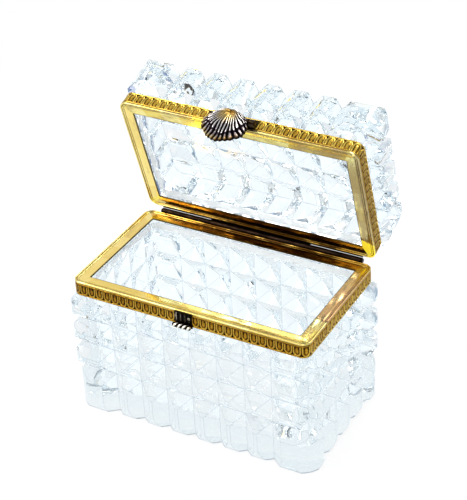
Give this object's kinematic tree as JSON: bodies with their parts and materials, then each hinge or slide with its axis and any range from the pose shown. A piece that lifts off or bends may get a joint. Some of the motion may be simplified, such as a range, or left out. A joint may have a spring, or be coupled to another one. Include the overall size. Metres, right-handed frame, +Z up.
{
  "type": "glass casket box",
  "caption": "Cut-glass casket with a hinged lid, gilt brass frames, scallop-shell clasp and a flat underside.",
  "frame": {"origin": "centre of the flat underside, under the middle of the base's brass frame", "axes": "+Z up; +X to the right along the front, along the hinge; -Y towards the front, where the clasp is"},
  "size_m": [0.148, 0.1195, 0.1717],
  "materials": {
    "cut_crystal": "polished",
    "gilt_brass": "polished gilt",
    "stamped_brass": "stamped gilt",
    "dark_brass": "aged dark",
    "silvered_bronze": "cast, dark in the furrows",
    "cement": "matte",
    "spring_steel": "drawn wire"
  },
  "bodies": {
    "base": {"base_glass": "cut_crystal", "base_cement": "cement", "base_rim": "gilt_brass", "base_band": "stamped_brass", "catch_plate": "dark_brass", "catch_bar": "dark_brass", "catch_rivets": "dark_brass", "hinge_base_leaf": "dark_brass", "hinge_base_rivets": "gilt_brass", "hinge_pin": "dark_brass"},
    "lid": {"lid_glass": "cut_crystal", "lid_cement": "cement", "lid_rim": "gilt_brass", "lid_band": "stamped_brass", "hinge_lid_leaf": "dark_brass", "hinge_lid_rivets": "gilt_brass", "clasp_bracket": "dark_brass", "clasp_rivets": "dark_brass", "clasp_pin": "dark_brass", "clasp_spring": "spring_steel"},
    "clasp": {"clasp_lever": "dark_brass", "clasp_hook": "dark_brass", "shell_rivet": "dark_brass", "clasp_shell": "silvered_bronze"}
  },
  "joints": [
    {"name": "lid_hinge", "type": "hinge", "parent": "base", "child": "lid", "pos_m": [0, 0.04225, 0.0812], "axis": [1, 0, 0], "range_deg": [0, 73.2]},
    {"name": "clasp_press", "type": "hinge", "parent": "lid", "child": "clasp", "pos_m": [-0.0015, 0.02117, 0.16383], "axis": [-1, 0, 0], "range_deg": [0, 12], "stiffness_Nm_per_rad": 0.03, "springref_deg": -11.46}
  ]
}
